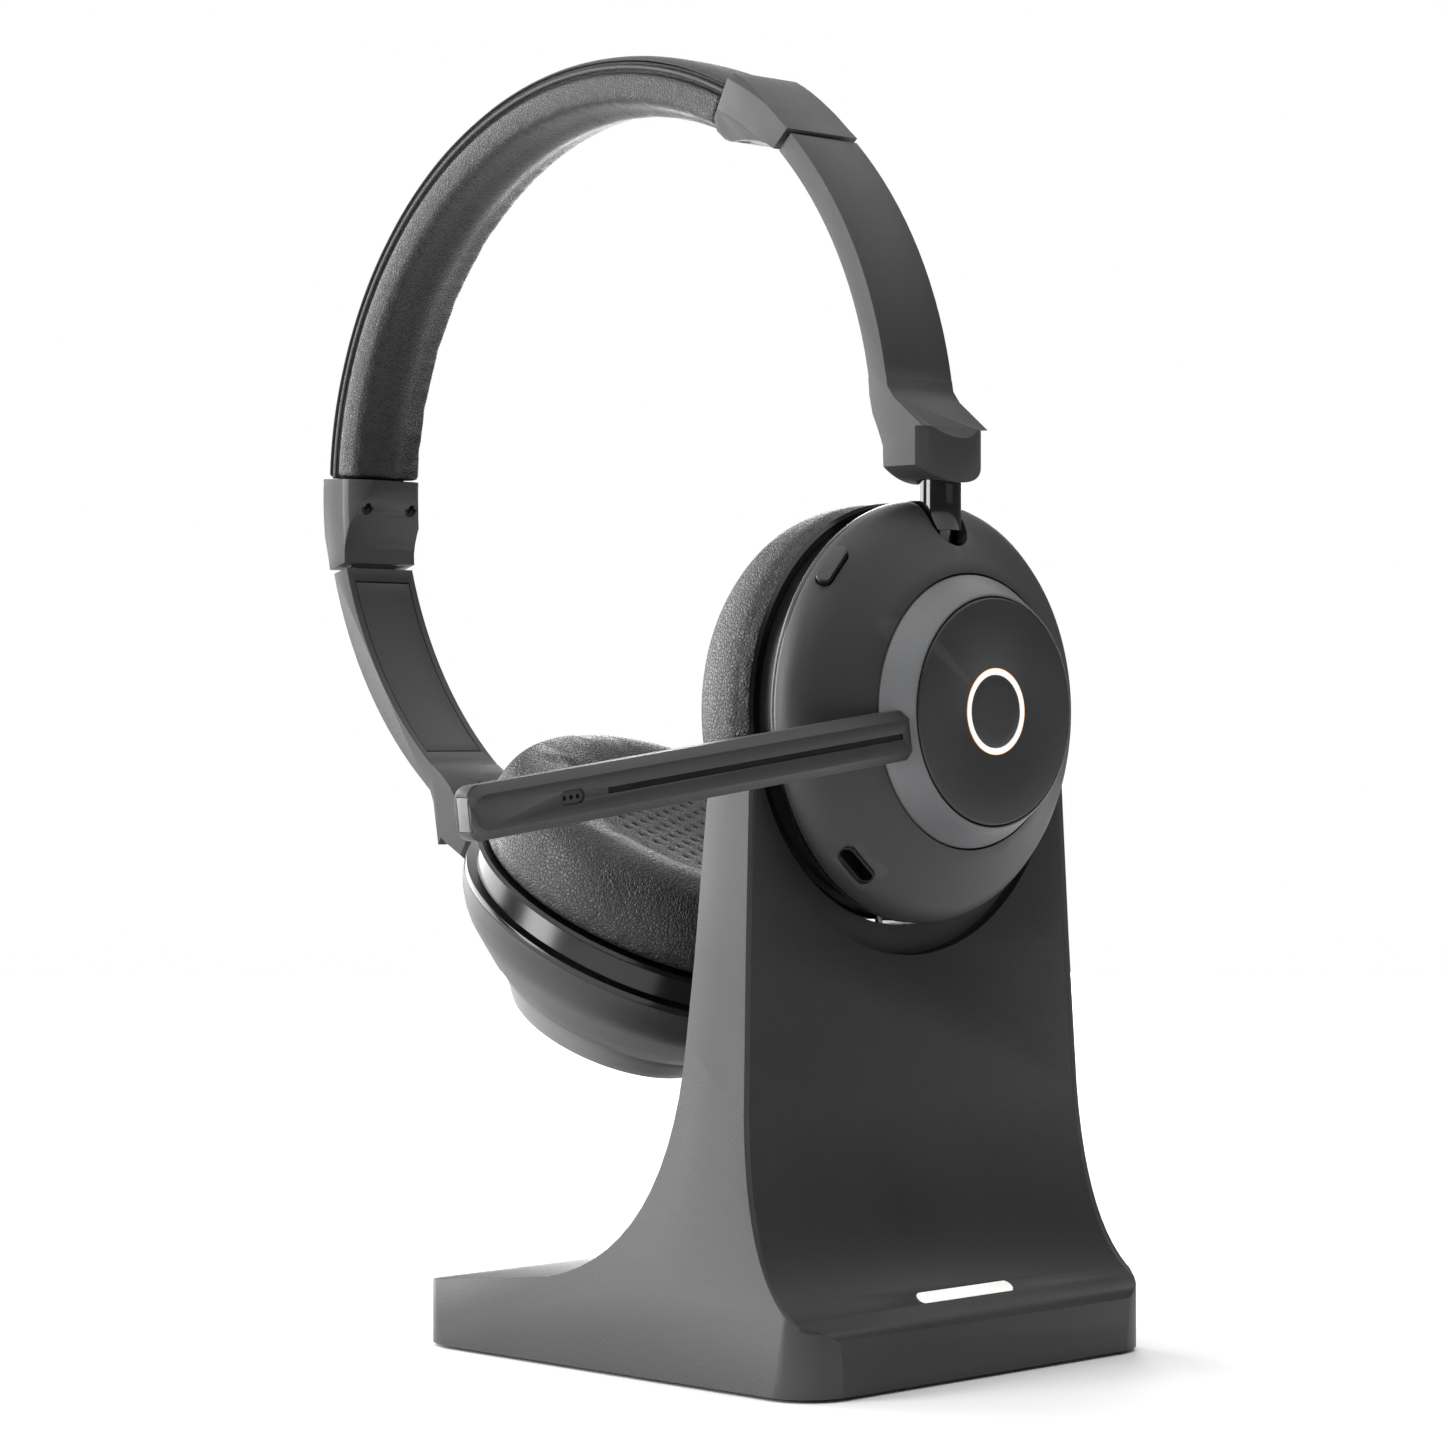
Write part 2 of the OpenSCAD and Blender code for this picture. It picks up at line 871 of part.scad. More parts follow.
module arm_solid() {
  difference() {
    union() {
      side_slab(arm_w) strip_outline(arm_ri, arm_ro, arm_a0, arm_a1);
      arm_boss();
    }
    // bore for the post's spigot
    translate([0, plane_y + post_s, 150])
      cylinder(r = 2.55, h = 10.8);
    translate([0, plane_y + post_s, 148])
      cylinder(d = post_d + 0.5, h = 8.5);
    // seat of the inner cover
    side_slab(arm_w - 3) strip_outline(arm_ri - 1, arm_ri + 0.8, arm_a0 + 4, arm_a1 - 2);
    // screw hole below the cover
    translate([0, -28, 164.3])
      rotate([90, 0, 0])
        cylinder(r = 1.4, h = 3.4);
    // seat of the slide strip
    slide_bar(strip_w + 0.02, strip_t + 0.02, -3, 3);
  }
}

module near_arm() {
  color(plastic) arm_solid();
}

module far_arm() {
  color(plastic) mirrored() arm_solid();
}

module arm_cover_solid() {
  difference() {
    side_slab(arm_w - 3.3) strip_outline(arm_ri, arm_ri + 0.78, arm_a0 + 4.2, arm_a1 - 2.2);
    slide_bar(strip_w + 0.2, strip_t + 0.2, -4, 3);
  }
}

module near_arm_cover() {
  color(light_plastic) arm_cover_solid();
}

module far_arm_cover() {
  color(light_plastic) mirrored() arm_cover_solid();
}

module near_slide_strip() {
  color(steel) slide_bar(strip_w, strip_t, -2.9, strip_len);
}

module far_slide_strip() {
  color(steel) mirrored() slide_bar(strip_w, strip_t, -2.9, strip_len);
}

// ---------- headband ----------

module band_ring(r0, r1, w, half) {
  side_slab(w)
    polygon(concat(band_arc(r1, -half, half, 40), band_arc(r0, half, -half, 40)));
}

module band_cover() {
  color(leather) band_ring(cover_r0, band_r, band_w, band_half - 0.1);
}

module band_carrier() {
  color(gloss)
    difference() {
      band_ring(carrier_r0, carrier_r1, band_w - 4, band_half - 0.4);
      band_ring(carrier_r0 + 1.2, carrier_r0 + 2.2, 12.2, 43);
      for (side = [-1, 1])
        side_slab(strip_w + 2 * tunnel)
          polygon(concat(
            band_arc(carrier_r1 + 1, side * 43, side * (band_half + 2), 8),
            band_arc(carrier_r0 - 1, side * (band_half + 2), side * 43, 8)));
    }
}

module band_spring() {
  color(steel) band_ring(carrier_r0 + 1.3, carrier_r0 + 2.1, 12, 42.8);
}

module band_pad() {
  color(leather)
    union() {
      band_ring(pad_r0 + 1.6, pad_r1, band_w, band_half - 0.1);
      band_ring(pad_r0, pad_r1, band_w - 7, band_half - 0.6);
    }
}

// Welts along both edges, between the cover and the pad
module band_piping() {
  color(gloss)
    for (side = [-1, 1])
      side_slab(0.9, side * (band_w / 2 - 0.45))
        polygon(concat(band_arc(75.2, -band_half + 0.4, band_half - 0.4, 40),
                       band_arc(73.8, band_half - 0.4, -band_half + 0.4, 40)));
}

// Side view of a slider block: it swells from the arm to the band
function block_edge(r_arm, a_arm, r_band) =
  [for (i = [0:8]) let (t = i / 8)
    band_pt(r_arm + (r_band - r_arm) * smooth(t), a_arm + (-band_half - a_arm) * t)];

module block_outline() {
  outer = block_edge(77.4, -70.4, 79.3);
  inner = block_edge(72.7, -70, 66.9);
  polygon(concat(outer, [for (i = [8:-1:0]) inner[i]]));
}

// Draws the block's long edges in, so that it follows the pad's crown
module block_crown() {
  half = block_w / 2;
  o = band_o();
  translate([0, o[0], o[1]])
    rotate([0, 90, 0])
      rotate_extrude()
        polygon([[60, -4.6], [66.9, -4.6], [68.2, -7.2], [70.4, -half], [78, -half], [79.6, -half + 1.2],
                 [79.6, half - 1.2], [78, half], [70.4, half], [68.2, 7.2], [66.9, 4.6], [60, 4.6]]);
}

module block_half(outer_half) {
  difference() {
    intersection() {
      side_slab(block_w) block_outline();
      side_slab(block_w + 2)
        polygon(outer_half
          ? concat(band_arc(90, -75, -50, 8), band_arc(72.2, -50, -75, 8))
          : concat(band_arc(72.2, -75, -50, 8), band_arc(60, -50, -75, 8)));
      block_crown();
    }
    slide_bar(strip_w + 2 * tunnel, strip_t + 2 * tunnel, -6, strip_len + 4);
    block_screw_places() {
      cylinder(r = 1.45, h = 1.6);
      translate([0, 0, -3]) cylinder(r = 0.8, h = 8);
    }
  }
}

// Screws stand on the block's inner face; +Z points out of that face
module block_screw_places() {
  for (x = [-5.6, 5.6]) {
    p = band_pt(68.9, -61.5);
    translate([x, p[0], p[1]])
      rotate([180 - lean + 61.5, 0, 0])
        translate([0, 0, -1.2])
          children();
  }
}

module near_block_outer() {
  color(plastic) block_half(true);
}

module near_block_inner() {
  color(plastic) block_half(false);
}

module far_block_outer() {
  color(plastic) mirrored() block_half(true);
}

module far_block_inner() {
  color(plastic) mirrored() block_half(false);
}

module block_screw_pair() {
  block_screw_places()
    difference() {
      union() {
        translate([0, 0, 0]) cylinder(r = 1.35, h = 0.9);
        translate([0, 0, -2.8]) cylinder(r = 0.75, h = 3);
      }
      for (a = [0, 90])
        rotate([0, 0, a])
          translate([-0.8, -0.15, 0.5])
            cube([1.6, 0.3, 1]);
    }
}

module block_screws() {
  color(steel)
    union() {
      block_screw_pair();
      mirrored() block_screw_pair();
    }
}

module battery_pack() {
  color([0.55, 0.56, 0.6])
    in_far_cup()
      translate([-15, -6.7, -14])
        cube([30, 9, 26]);
}

stand_housing();
stand_front_panel();
stand_bottom_plate();
stand_rubber_mat();
stand_weight();
stand_circuit_board();
stand_usb_c_socket();
stand_light_bar();
stand_charge_pins();
stand_screws();
near_shell();
near_waist_ring();
near_cushion_ring();
near_cushion();
near_cushion_mesh();
near_speaker();
near_circuit_board();
headset_usb_c_socket();
charge_contacts();
near_disc();
call_light_ring();
near_hinge_bracket();
near_hinge_pin();
call_button();
side_button();
boom_hub();
boom_bar();
boom_slot_insert();
boom_mic_grille();
boom_mic_capsule();
boom_tip_cap();
near_post();
near_arm();
near_arm_cover();
near_slide_strip();
band_cover();
band_carrier();
band_spring();
band_pad();
band_piping();
near_block_outer();
near_block_inner();
far_block_outer();
far_block_inner();
block_screws();
far_arm();
far_arm_cover();
far_slide_strip();
far_post();
far_shell();
far_waist_ring();
far_cushion_ring();
far_cushion();
far_cushion_mesh();
far_speaker();
battery_pack();
far_disc();
far_trim_ring();
far_hinge_bracket();
far_hinge_pin();
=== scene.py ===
import json
import math

import bpy
from mathutils import Matrix, Vector, noise


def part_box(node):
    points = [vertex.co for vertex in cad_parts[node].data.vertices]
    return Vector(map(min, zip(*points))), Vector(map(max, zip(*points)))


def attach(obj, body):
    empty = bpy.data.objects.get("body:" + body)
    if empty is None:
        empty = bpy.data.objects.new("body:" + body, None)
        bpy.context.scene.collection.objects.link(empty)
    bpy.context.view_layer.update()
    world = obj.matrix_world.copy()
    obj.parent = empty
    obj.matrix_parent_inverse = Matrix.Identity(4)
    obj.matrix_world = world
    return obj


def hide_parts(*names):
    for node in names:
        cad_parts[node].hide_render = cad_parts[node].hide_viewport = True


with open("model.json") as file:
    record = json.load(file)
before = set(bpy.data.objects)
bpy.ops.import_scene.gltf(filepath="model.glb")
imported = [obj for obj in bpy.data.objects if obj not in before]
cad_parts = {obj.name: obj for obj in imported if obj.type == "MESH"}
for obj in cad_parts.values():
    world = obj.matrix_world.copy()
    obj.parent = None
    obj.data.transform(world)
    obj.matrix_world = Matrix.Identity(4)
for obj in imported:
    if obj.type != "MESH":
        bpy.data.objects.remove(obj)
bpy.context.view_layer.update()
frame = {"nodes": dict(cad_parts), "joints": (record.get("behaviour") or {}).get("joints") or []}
NODES = frame["nodes"]
MM = 0.001
SIM = 10.0

# ---------- where things are, from the record's joints and the CAD boxes ----------

joints = {j["name"]: j for j in frame["joints"]}
p_near = Vector(joints["near_tilt"]["pos_m"])
p_far = Vector(joints["far_tilt"]["pos_m"])
m_normal = (p_far - p_near).normalized()
m_point = (p_near + p_far) / 2
reflect = Matrix.Translation(m_point) @ Matrix(
    [[(1 if i == j else 0) - 2 * m_normal[i] * m_normal[j] for j in range(3)] for i in range(3)]
).to_4x4() @ Matrix.Translation(-m_point)

# the far cup is deeper than the near one and sits a little lower on its hinge
FAR_DEEPER = 5.1 * MM
FAR_DROP = 1.8 * MM
to_far = reflect @ Matrix.Translation((0, FAR_DEEPER, -FAR_DROP))

c_lo, c_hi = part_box("near_cushion")
CUP_Z = (c_lo.z + c_hi.z) / 2
CUSHION_BACK = c_lo.y
CUSHION_S = 8.4  # where the cushion starts along the cup's axis, in mm
PLANE_Y = CUSHION_BACK - CUSHION_S * MM
LEAN = math.radians(30.5)
BAND_O = Vector((0, 39.911 * MM, 156.526 * MM))


def cup(r, s, a):
    """A point of the near cup: radius and s in mm, angle in radians."""
    return Vector((r * MM * math.cos(a), PLANE_Y + s * MM, CUP_Z + r * MM * math.sin(a)))


def band(r, a, x):
    """A point of the headband: radius and x in mm, angle from its middle in degrees."""
    t = math.radians(a) + LEAN
    return BAND_O + Vector((x * MM, r * MM * math.sin(t), r * MM * math.cos(t)))


# ---------- materials ----------


class Mat:
    """A small node builder."""

    def __init__(self, name):
        self.mat = bpy.data.materials.new(name)
        self.mat.use_nodes = True
        self.nodes = self.mat.node_tree.nodes
        self.links = self.mat.node_tree.links
        self.bsdf = next(n for n in self.nodes if n.type == "BSDF_PRINCIPLED")
        self.coord = self.nodes.new("ShaderNodeTexCoord").outputs["Object"]

    def add(self, kind, ins=None, **props):
        n = self.nodes.new(kind)
        for k, v in props.items():
            setattr(n, k, v)
        for k, v in (ins or {}).items():
            if isinstance(v, bpy.types.NodeSocket):
                self.links.new(v, n.inputs[k])
            else:
                n.inputs[k].default_value = v
        return n

    def noise(self, scale, detail=3.0, rough=0.5, vector=None, distortion=0.0):
        n = self.add("ShaderNodeTexNoise", {"Vector": vector or self.coord, "Scale": scale, "Detail": detail,
                                            "Roughness": rough, "Distortion": distortion})
        return n.outputs["Fac"]

    def voronoi(self, scale, feature="F1", vector=None, rand=1.0):
        ins = {"Vector": vector or self.coord, "Scale": scale, "Randomness": rand}
        n = self.add("ShaderNodeTexVoronoi", ins, feature=feature)
        return n.outputs["Distance"]

    def span(self, value, lo, hi, a=0.0, b=1.0, smooth=True):
        ins = {"Value": value, "From Min": lo, "From Max": hi, "To Min": a, "To Max": b}
        n = self.add("ShaderNodeMapRange", ins, interpolation_type="SMOOTHSTEP" if smooth else "LINEAR")
        return n.outputs["Result"]

    def math(self, op, a, b=0.0, clamp=False):
        n = self.add("ShaderNodeMath", {0: a, 1: b}, operation=op, use_clamp=clamp)
        return n.outputs[0]

    def mix(self, fac, a, b):
        n = self.add("ShaderNodeMix", {"Factor": fac}, data_type="RGBA")
        for key, v in ((6, a), (7, b)):
            if isinstance(v, bpy.types.NodeSocket):
                self.links.new(v, n.inputs[key])
            else:
                n.inputs[key].default_value = (*v, 1.0)
        return n.outputs[2]

    def warp(self, scale, amount):
        n = self.add("ShaderNodeTexNoise", {"Vector": self.coord, "Scale": scale, "Detail": 2.0})
        ins = {0: n.outputs["Color"], 1: (0.5, 0.5, 0.5)}
        sub = self.add("ShaderNodeVectorMath", ins, operation="SUBTRACT")
        sc = self.add("ShaderNodeVectorMath", {0: sub.outputs[0], "Scale": amount}, operation="SCALE")
        out = self.add("ShaderNodeVectorMath", {0: self.coord, 1: sc.outputs[0]}, operation="ADD")
        return out.outputs[0]

    def bump(self, height, distance, strength=1.0, normal=None):
        ins = {"Height": height, "Distance": distance, "Strength": strength}
        if normal is not None:
            ins["Normal"] = normal
        return self.add("ShaderNodeBump", ins).outputs["Normal"]

    def set(self, **vals):
        for k, v in vals.items():
            key = k.replace("_", " ")
            sock = self.bsdf.inputs[key]
            if isinstance(v, bpy.types.NodeSocket):
                self.links.new(v, sock)
            elif isinstance(v, tuple) and len(v) == 3 and sock.type == "RGBA":
                sock.default_value = (*v, 1.0)
            else:
                sock.default_value = v
        return self.mat

    # Mask of convex edges from pointiness, used to lighten their colour: painted edge highlight.
    def edge_highlight_mask(self, lo=0.53, hi=0.62):
        geo = self.nodes.new("ShaderNodeNewGeometry")
        return self.span(geo.outputs["Pointiness"], lo, hi)


def plastic(name, dark, light, rough, grain=1.0, edge=0.25):
    """Moulded plastic with a fine spark-eroded grain and faint flow marks. Convex edges are lightened in
    colour by edge: a painted edge highlight.
    """
    m = Mat(name)
    cloud = m.noise(38.0, 4.0, 0.6)
    speck = m.noise(5200.0, 2.0, 0.5)
    pits = m.voronoi(3300.0, "SMOOTH_F1")
    tone = m.mix(m.span(cloud, 0.3, 0.7), dark, light)
    bright = tuple(min(1, c * 1.9) for c in light)
    fine = m.mix(m.math("MULTIPLY", m.span(speck, 0.45, 0.75), 0.18), tone, bright)
    # Convex edges lightened towards a brighter tone: painted edge highlight.
    edge_highlit = m.mix(m.math("MULTIPLY", m.edge_highlight_mask(), edge), fine, tuple(min(1, c * 2.6) for c in light))
    r = m.math("ADD", m.span(cloud, 0.25, 0.75, rough - 0.04, rough + 0.04),
               m.span(speck, 0.3, 0.7, -0.03, 0.03))
    h = m.math("ADD", m.math("MULTIPLY", pits, 0.6), speck)
    n = m.bump(h, 0.00005 * grain, 0.55)
    return m.set(Base_Color=edge_highlit, Roughness=r, Normal=n, Specular_IOR_Level=0.45)


def gloss(name, base, rough=0.07, coat=0.35):
    """Polished black plastic: fine haze, faint wiping marks and a very slight ripple."""
    m = Mat(name)
    haze = m.noise(70.0, 4.0, 0.6)
    mp = m.add("ShaderNodeMapping", {"Vector": m.coord, "Scale": (1.0, 1.0, 9.0)})
    wipe = m.noise(900.0, 2.0, 0.5, vector=mp.outputs[0])
    c = m.mix(m.span(haze, 0.35, 0.7), base, tuple(x * 1.6 + 0.002 for x in base))
    r = m.math("ADD", m.span(haze, 0.3, 0.75, rough, rough + 0.05), m.span(wipe, 0.55, 0.8, 0.0, 0.03))
    n = m.bump(haze, 0.00003, 0.3)
    return m.set(Base_Color=c, Roughness=r, Normal=n, Coat_Weight=coat, Coat_Roughness=0.05)


def leather(name, dark, light, cell=1450.0, rough=0.46, depth=0.00016):
    """Pebbled artificial leather: cells, creases between them darkened with painted shade, fine pores and a
    soft sheen.
    """
    m = Mat(name)
    w = m.warp(420.0, 0.0011)
    cells = m.voronoi(cell, "DISTANCE_TO_EDGE", vector=w)
    big = m.voronoi(cell * 0.48, "SMOOTH_F1", vector=w)
    pores = m.noise(cell * 4.2, 2.0, 0.6)
    cloud = m.noise(55.0, 4.0, 0.55)
    crease = m.span(cells, 0.0, 0.22)
    tone = m.mix(m.span(cloud, 0.3, 0.72), dark, light)
    # The creases between the cells are darkened in colour: painted shade.
    col = m.mix(crease, tuple(c * 0.45 for c in dark), tone)
    r = m.math("ADD", m.span(cloud, 0.25, 0.75, rough - 0.05, rough + 0.06),
               m.span(crease, 0.0, 1.0, 0.12, 0.0))
    h = m.math("ADD", m.math("MULTIPLY", crease, 0.75), m.math("MULTIPLY", big, -0.25))
    h2 = m.math("ADD", h, m.math("MULTIPLY", pores, 0.16))
    n = m.bump(h2, depth, 0.9)
    return m.set(Base_Color=col, Roughness=r, Normal=n, Specular_IOR_Level=0.55, Sheen_Weight=0.02,
                 Sheen_Roughness=0.4)


def metal(name, base, rough, brushed=(1, 1, 30)):
    m = Mat(name)
    mp = m.add("ShaderNodeMapping", {"Vector": m.coord, "Scale": brushed})
    lines = m.noise(420.0, 3.0, 0.6, vector=mp.outputs[0])
    cloud = m.noise(60.0, 3.0)
    c = m.mix(m.span(cloud, 0.3, 0.7), tuple(x * 0.82 for x in base), base)
    r = m.math("ADD", m.span(lines, 0.3, 0.7, rough - 0.06, rough + 0.1),
               m.span(cloud, 0.3, 0.7, -0.03, 0.03))
    return m.set(Base_Color=c, Roughness=r, Metallic=1.0, Normal=m.bump(lines, 0.00003, 0.4))


def glow(name, base, power):
    """A lit translucent window of milky plastic, with faint random patches in its tone."""
    m = Mat(name)
    soft = m.noise(300.0, 2.0)
    c = m.mix(m.span(soft, 0.3, 0.7), tuple(x * 0.93 for x in base), base)
    return m.set(Base_Color=c, Roughness=m.span(soft, 0.3, 0.7, 0.3, 0.42), Emission_Color=c,
                 Emission_Strength=power)


def board(name):
    m = Mat(name)
    tracks = m.add("ShaderNodeTexBrick", {"Vector": m.coord, "Scale": 260.0, "Mortar Size": 0.06,
                                          "Color1": (0.02, 0.10, 0.06, 1), "Color2": (0.03, 0.13, 0.08, 1),
                                          "Mortar": (0.05, 0.20, 0.12, 1)})
    cloud = m.noise(500.0)
    return m.set(Base_Color=tracks.outputs["Color"], Roughness=m.span(cloud, 0.3, 0.7, 0.3, 0.42),
                 Normal=m.bump(tracks.outputs["Fac"], 0.00004, 0.4))


def cloth(name, base):
    m = Mat(name)
    ins = {"Vector": m.coord, "Scale": 900.0, "Distortion": 1.5}
    weave = m.add("ShaderNodeTexWave", ins, wave_type="BANDS")
    weave2 = m.add("ShaderNodeTexWave", ins, wave_type="BANDS", bands_direction="Z")
    h = m.math("MULTIPLY", weave.outputs["Fac"], weave2.outputs["Fac"])
    c = m.mix(h, tuple(x * 0.5 for x in base), tuple(x * 1.3 for x in base))
    return m.set(Base_Color=c, Roughness=m.span(h, 0.0, 1.0, 0.95, 0.8), Normal=m.bump(h, 0.0001, 0.6))


def dull(name, dark, light, rough, scale):
    """Rubber, cast iron and foil: mottled, with a coarse or fine surface."""
    m = Mat(name)
    a = m.noise(scale, 5.0, 0.6)
    b = m.noise(scale * 9, 2.0)
    c = m.mix(m.span(a, 0.3, 0.7), dark, light)
    r = m.math("ADD", m.span(a, 0.3, 0.7, rough - 0.08, rough + 0.05), m.span(b, 0.3, 0.7, -0.04, 0.04))
    return m.set(Base_Color=c, Roughness=r, Normal=m.bump(m.math("ADD", a, b), 0.00008, 0.5))


shell_mat = plastic("matte_charcoal", (0.023, 0.0236, 0.0246), (0.028, 0.0287, 0.0297), 0.50)
stand_mat = plastic("matte_stand", (0.023, 0.0236, 0.0246), (0.028, 0.0287, 0.0297), 0.47, grain=1.2)
panel_mat = plastic("matte_panel", (0.013, 0.0133, 0.0138), (0.016, 0.0163, 0.0168), 0.46, grain=1.2)
hub_mat = plastic("satin_grey", (0.105, 0.107, 0.110), (0.125, 0.127, 0.130), 0.42, edge=0.15)
disc_mat = plastic("disc_dark", (0.020, 0.0205, 0.0215), (0.026, 0.0265, 0.0275), 0.44, grain=0.7, edge=0.35)
dark_mat = plastic("dark_plastic", (0.016, 0.0165, 0.017), (0.021, 0.0215, 0.022), 0.5)
bar_mat = plastic("boom_plastic", (0.024, 0.0246, 0.0256), (0.030, 0.0306, 0.0316), 0.45, edge=0.35)
tip_mat = plastic("tip_plastic", (0.11, 0.112, 0.115), (0.13, 0.132, 0.136), 0.4)
gloss_mat = gloss("gloss_black", (0.004, 0.004, 0.0045))
ring_mat = gloss("ring_black", (0.0025, 0.0025, 0.003), rough=0.2, coat=0.0)
leather_mat = leather("black_leather", (0.008, 0.0081, 0.0085), (0.012, 0.0122, 0.013), rough=0.38,
                      depth=0.00015)
pad_mat = leather("pad_leather", (0.007, 0.0071, 0.0075), (0.0105, 0.0107, 0.0115), cell=1750.0, rough=0.36,
                  depth=0.00010)
cover_mat = leather("cover_leather", (0.012, 0.0122, 0.0125), (0.018, 0.0183, 0.019), cell=2100.0, rough=0.5,
                    depth=0.0001)
welt_mat = leather("welt_leather", (0.045, 0.0455, 0.046), (0.065, 0.0655, 0.067), cell=3200.0, rough=0.42,
                   depth=0.00006)
steel_mat = metal("brushed_steel", (0.60, 0.61, 0.63), 0.28)
dark_steel_mat = metal("dark_screws", (0.09, 0.09, 0.095), 0.35)
pin_mat = metal("plated_contacts", (0.22, 0.21, 0.20), 0.25)
light_mat = glow("white_light", (0.90, 0.90, 0.88), 0.45)
amber_mat = glow("amber_edge", (0.95, 0.55, 0.28), 0.5)
board_mat = board("circuit_board")
cloth_mat = cloth("speaker_cloth", (0.012, 0.012, 0.013))
rubber_mat = dull("rubber", (0.02, 0.02, 0.02), (0.032, 0.032, 0.032), 0.8, 350.0)
iron_mat = dull("cast_iron", (0.10, 0.10, 0.105), (0.17, 0.17, 0.175), 0.55, 240.0)
foil_mat = dull("battery_foil", (0.36, 0.37, 0.40), (0.50, 0.51, 0.55), 0.35, 160.0)

NODE_MATS = {
    "stand_housing": stand_mat, "stand_front_panel": panel_mat, "stand_bottom_plate": dark_mat,
    "stand_rubber_mat": rubber_mat, "stand_weight": iron_mat, "stand_circuit_board": board_mat,
    "stand_usb_c_socket": steel_mat, "stand_light_bar": light_mat, "stand_charge_pins": pin_mat,
    "stand_screws": steel_mat, "near_shell": shell_mat, "near_waist_ring": ring_mat,
    "near_cushion_ring": ring_mat, "near_speaker": steel_mat, "near_circuit_board": board_mat,
    "headset_usb_c_socket": dark_steel_mat, "charge_contacts": pin_mat, "near_disc": disc_mat,
    "call_light_ring": light_mat, "near_hinge_bracket": dark_steel_mat, "near_hinge_pin": steel_mat,
    "call_button": disc_mat, "side_button": gloss_mat, "boom_hub": hub_mat, "boom_bar": bar_mat,
    "boom_slot_insert": ring_mat, "boom_mic_grille": dark_mat, "boom_mic_capsule": steel_mat,
    "boom_tip_cap": tip_mat, "near_post": gloss_mat, "near_arm": shell_mat, "near_arm_cover": shell_mat,
    "near_slide_strip": dark_steel_mat, "band_carrier": dark_mat, "band_spring": steel_mat,
    "near_block_outer": shell_mat, "near_block_inner": shell_mat, "far_block_outer": shell_mat,
    "far_block_inner": shell_mat, "block_screws": dark_steel_mat, "far_arm": shell_mat,
    "far_arm_cover": shell_mat, "far_slide_strip": dark_steel_mat, "far_post": gloss_mat,
    "far_shell": shell_mat, "far_waist_ring": ring_mat, "far_cushion_ring": ring_mat,
    "far_speaker": steel_mat, "battery_pack": foil_mat, "far_disc": disc_mat, "far_trim_ring": hub_mat,
    "far_hinge_bracket": dark_steel_mat, "far_hinge_pin": steel_mat,
}


# ---------- CAD nodes: rounded edges and materials ----------


def smooth_group():
    """Drops stored normals and shades smooth across shallow edges only."""
    g = bpy.data.node_groups.new("smooth_by_angle", "GeometryNodeTree")
    g.interface.new_socket("Geometry", in_out="INPUT", socket_type="NodeSocketGeometry")
    g.interface.new_socket("Geometry", in_out="OUTPUT", socket_type="NodeSocketGeometry")
    n_in = g.nodes.new("NodeGroupInput")
    n_out = g.nodes.new("NodeGroupOutput")
    drop = g.nodes.new("GeometryNodeRemoveAttribute")
    drop.inputs["Name"].default_value = "custom_normal"
    drop2 = g.nodes.new("GeometryNodeRemoveAttribute")
    drop2.inputs["Name"].default_value = "sharp_face"
    angle = g.nodes.new("GeometryNodeInputMeshEdgeAngle")
    less = g.nodes.new("FunctionNodeCompare")
    less.operation = "LESS_THAN"
    less.inputs[1].default_value = math.radians(32)
    face = g.nodes.new("GeometryNodeSetShadeSmooth")
    edge = g.nodes.new("GeometryNodeSetShadeSmooth")
    edge.domain = "EDGE"
    face.domain = "FACE"
    link = g.links.new
    link(n_in.outputs[0], drop.inputs[0])
    link(drop.outputs[0], drop2.inputs[0])
    link(drop2.outputs[0], face.inputs[0])
    link(face.outputs[0], edge.inputs[0])
    link(angle.outputs["Unsigned Angle"], less.inputs[0])
    link(less.outputs[0], edge.inputs["Shade Smooth"])
    link(edge.outputs[0], n_out.inputs[0])
    return g


SMOOTH = smooth_group()
# width of each node's rounded edges, in mm
BEVELS = {
    "stand_housing": 0.45, "stand_front_panel": 0.35, "near_arm": 0.4, "far_arm": 0.4,
    "near_block_outer": 0.35, "near_block_inner": 0.3, "far_block_outer": 0.35, "far_block_inner": 0.3,
    "boom_bar": 0.25, "near_shell": 0.18, "far_shell": 0.18, "near_arm_cover": 0.12, "far_arm_cover": 0.12,
    "boom_hub": 0.2, "far_trim_ring": 0.2, "near_disc": 0.12, "far_disc": 0.15, "near_post": 0.2,
    "far_post": 0.2, "near_waist_ring": 0.12, "far_waist_ring": 0.12, "side_button": 0.3,
    "stand_light_bar": 0.1, "stand_rubber_mat": 0.2, "boom_tip_cap": 0.15, "call_light_ring": 0.05,
}


# turned parts keep their own facets, because merging them leaves streaks in the shading
TURNED = {"near_shell", "far_shell", "boom_hub", "far_trim_ring", "near_disc", "far_disc", "near_waist_ring",
          "far_waist_ring", "near_post", "far_post", "call_light_ring"}


def finish_node(o, bevel, turned):
    weld = o.modifiers.new("weld", "WELD")
    weld.merge_threshold = 1e-6
    if bevel and not turned:
        flat = o.modifiers.new("flat", "DECIMATE")
        flat.decimate_type = "DISSOLVE"
        flat.angle_limit = math.radians(0.4)
    if bevel:
        b = o.modifiers.new("bevel", "BEVEL")
        b.limit_method = "ANGLE"
        b.angle_limit = math.radians(32)
        b.width = bevel * MM
        b.segments = 2
        b.use_clamp_overlap = True
        b.loop_slide = True
        b.miter_outer = "MITER_ARC"
    s = o.modifiers.new("smooth", "NODES")
    s.node_group = SMOOTH


for name, o in NODES.items():
    mat = NODE_MATS.get(name)
    if mat is None:
        continue
    o.data.materials.clear()
    o.data.materials.append(mat)
    finish_node(o, BEVELS.get(name, 0), name in TURNED)


# ---------- mesh helpers ----------


